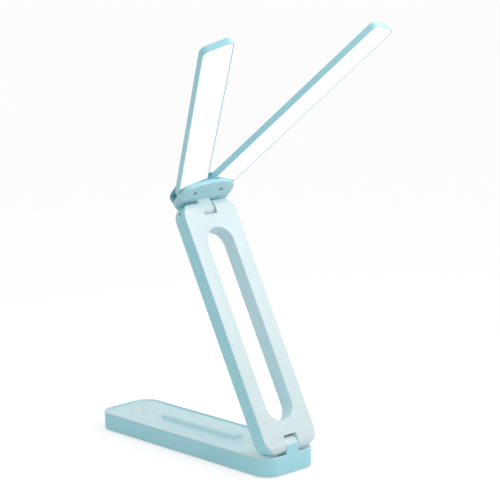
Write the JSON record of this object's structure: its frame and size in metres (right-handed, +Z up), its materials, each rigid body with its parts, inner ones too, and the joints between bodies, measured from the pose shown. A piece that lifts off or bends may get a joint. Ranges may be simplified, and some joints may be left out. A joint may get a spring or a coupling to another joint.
{
  "type": "folding led desk lamp",
  "caption": "Fold-flat rechargeable desk lamp: slab base, slotted arm on a friction hinge, and twin light bars that swivel out of a tilting bracket.",
  "frame": {"origin": "middle of the anti-slip pad's underside, which is the middle of the base's footprint on the table", "axes": "+Z up from the table; +Y along the base, away from its hinge end; +X across, along both hinge pins. The light bars face -Y and down"},
  "size_m": [0.1747, 0.2293, 0.3218],
  "materials": {
    "mint_plastic": "satin moulded ABS, pale teal",
    "pale_plastic": "satin moulded ABS, very pale teal",
    "milk_diffuser": "opal polycarbonate, satin",
    "clear_acrylic": "polished clear sheet",
    "white_board": "white solder mask",
    "phosphor": "silicone over phosphor",
    "circuit": "green solder mask",
    "foil": "laminated pouch foil",
    "contact_metal": "plated spring wire",
    "ribbon": "flat cable insulation",
    "steel": "plated steel",
    "pad_rubber": "matt anti-slip sheet"
  },
  "bodies": {
    "base": {"base_shell": "mint_plastic", "base_cover": "mint_plastic", "base_pad": "pad_rubber", "cover_screws": "steel", "battery_pack": "foil", "control_board": "circuit", "charge_socket": "steel", "touch_disc": "pale_plastic", "touch_spring": "contact_metal", "fold_washers": "steel"},
    "arm": {"arm_shell": "pale_plastic", "arm_cover": "pale_plastic", "arm_screws": "steel", "arm_ribbon": "ribbon", "fold_pin": "steel", "tilt_pin": "steel"},
    "head": {"bracket_front": "mint_plastic", "bracket_rear": "mint_plastic", "bracket_screws": "steel", "tilt_washers": "steel", "swivel_washers": "steel"},
    "left_bar": {"left_bar_shell": "mint_plastic", "left_led_board": "white_board", "left_leds": "phosphor", "left_light_guide": "clear_acrylic", "left_diffuser": "milk_diffuser"},
    "right_bar": {"right_bar_shell": "mint_plastic", "right_led_board": "white_board", "right_leds": "phosphor", "right_light_guide": "clear_acrylic", "right_diffuser": "milk_diffuser"}
  },
  "joints": [
    {"name": "arm_fold", "type": "hinge", "parent": "base", "child": "arm", "pos_m": [0, -0.0928, 0.02135], "axis": [1, 0, 0], "range_deg": [-61.5, 52]},
    {"name": "head_tilt", "type": "hinge", "parent": "arm", "child": "head", "pos_m": [0, -0.01017, 0.18351], "axis": [-1, 0, 0], "range_deg": [-108, 2]},
    {"name": "left_swivel", "type": "hinge", "parent": "head", "child": "left_bar", "pos_m": [-0.01255, -0.01986, 0.1932], "axis": [0, -0.7071, -0.7071], "range_deg": [-23, 67]},
    {"name": "right_swivel", "type": "hinge", "parent": "head", "child": "right_bar", "pos_m": [0.01255, -0.01986, 0.1932], "axis": [0, 0.7071, 0.7071], "range_deg": [-20.5, 69.5]}
  ]
}
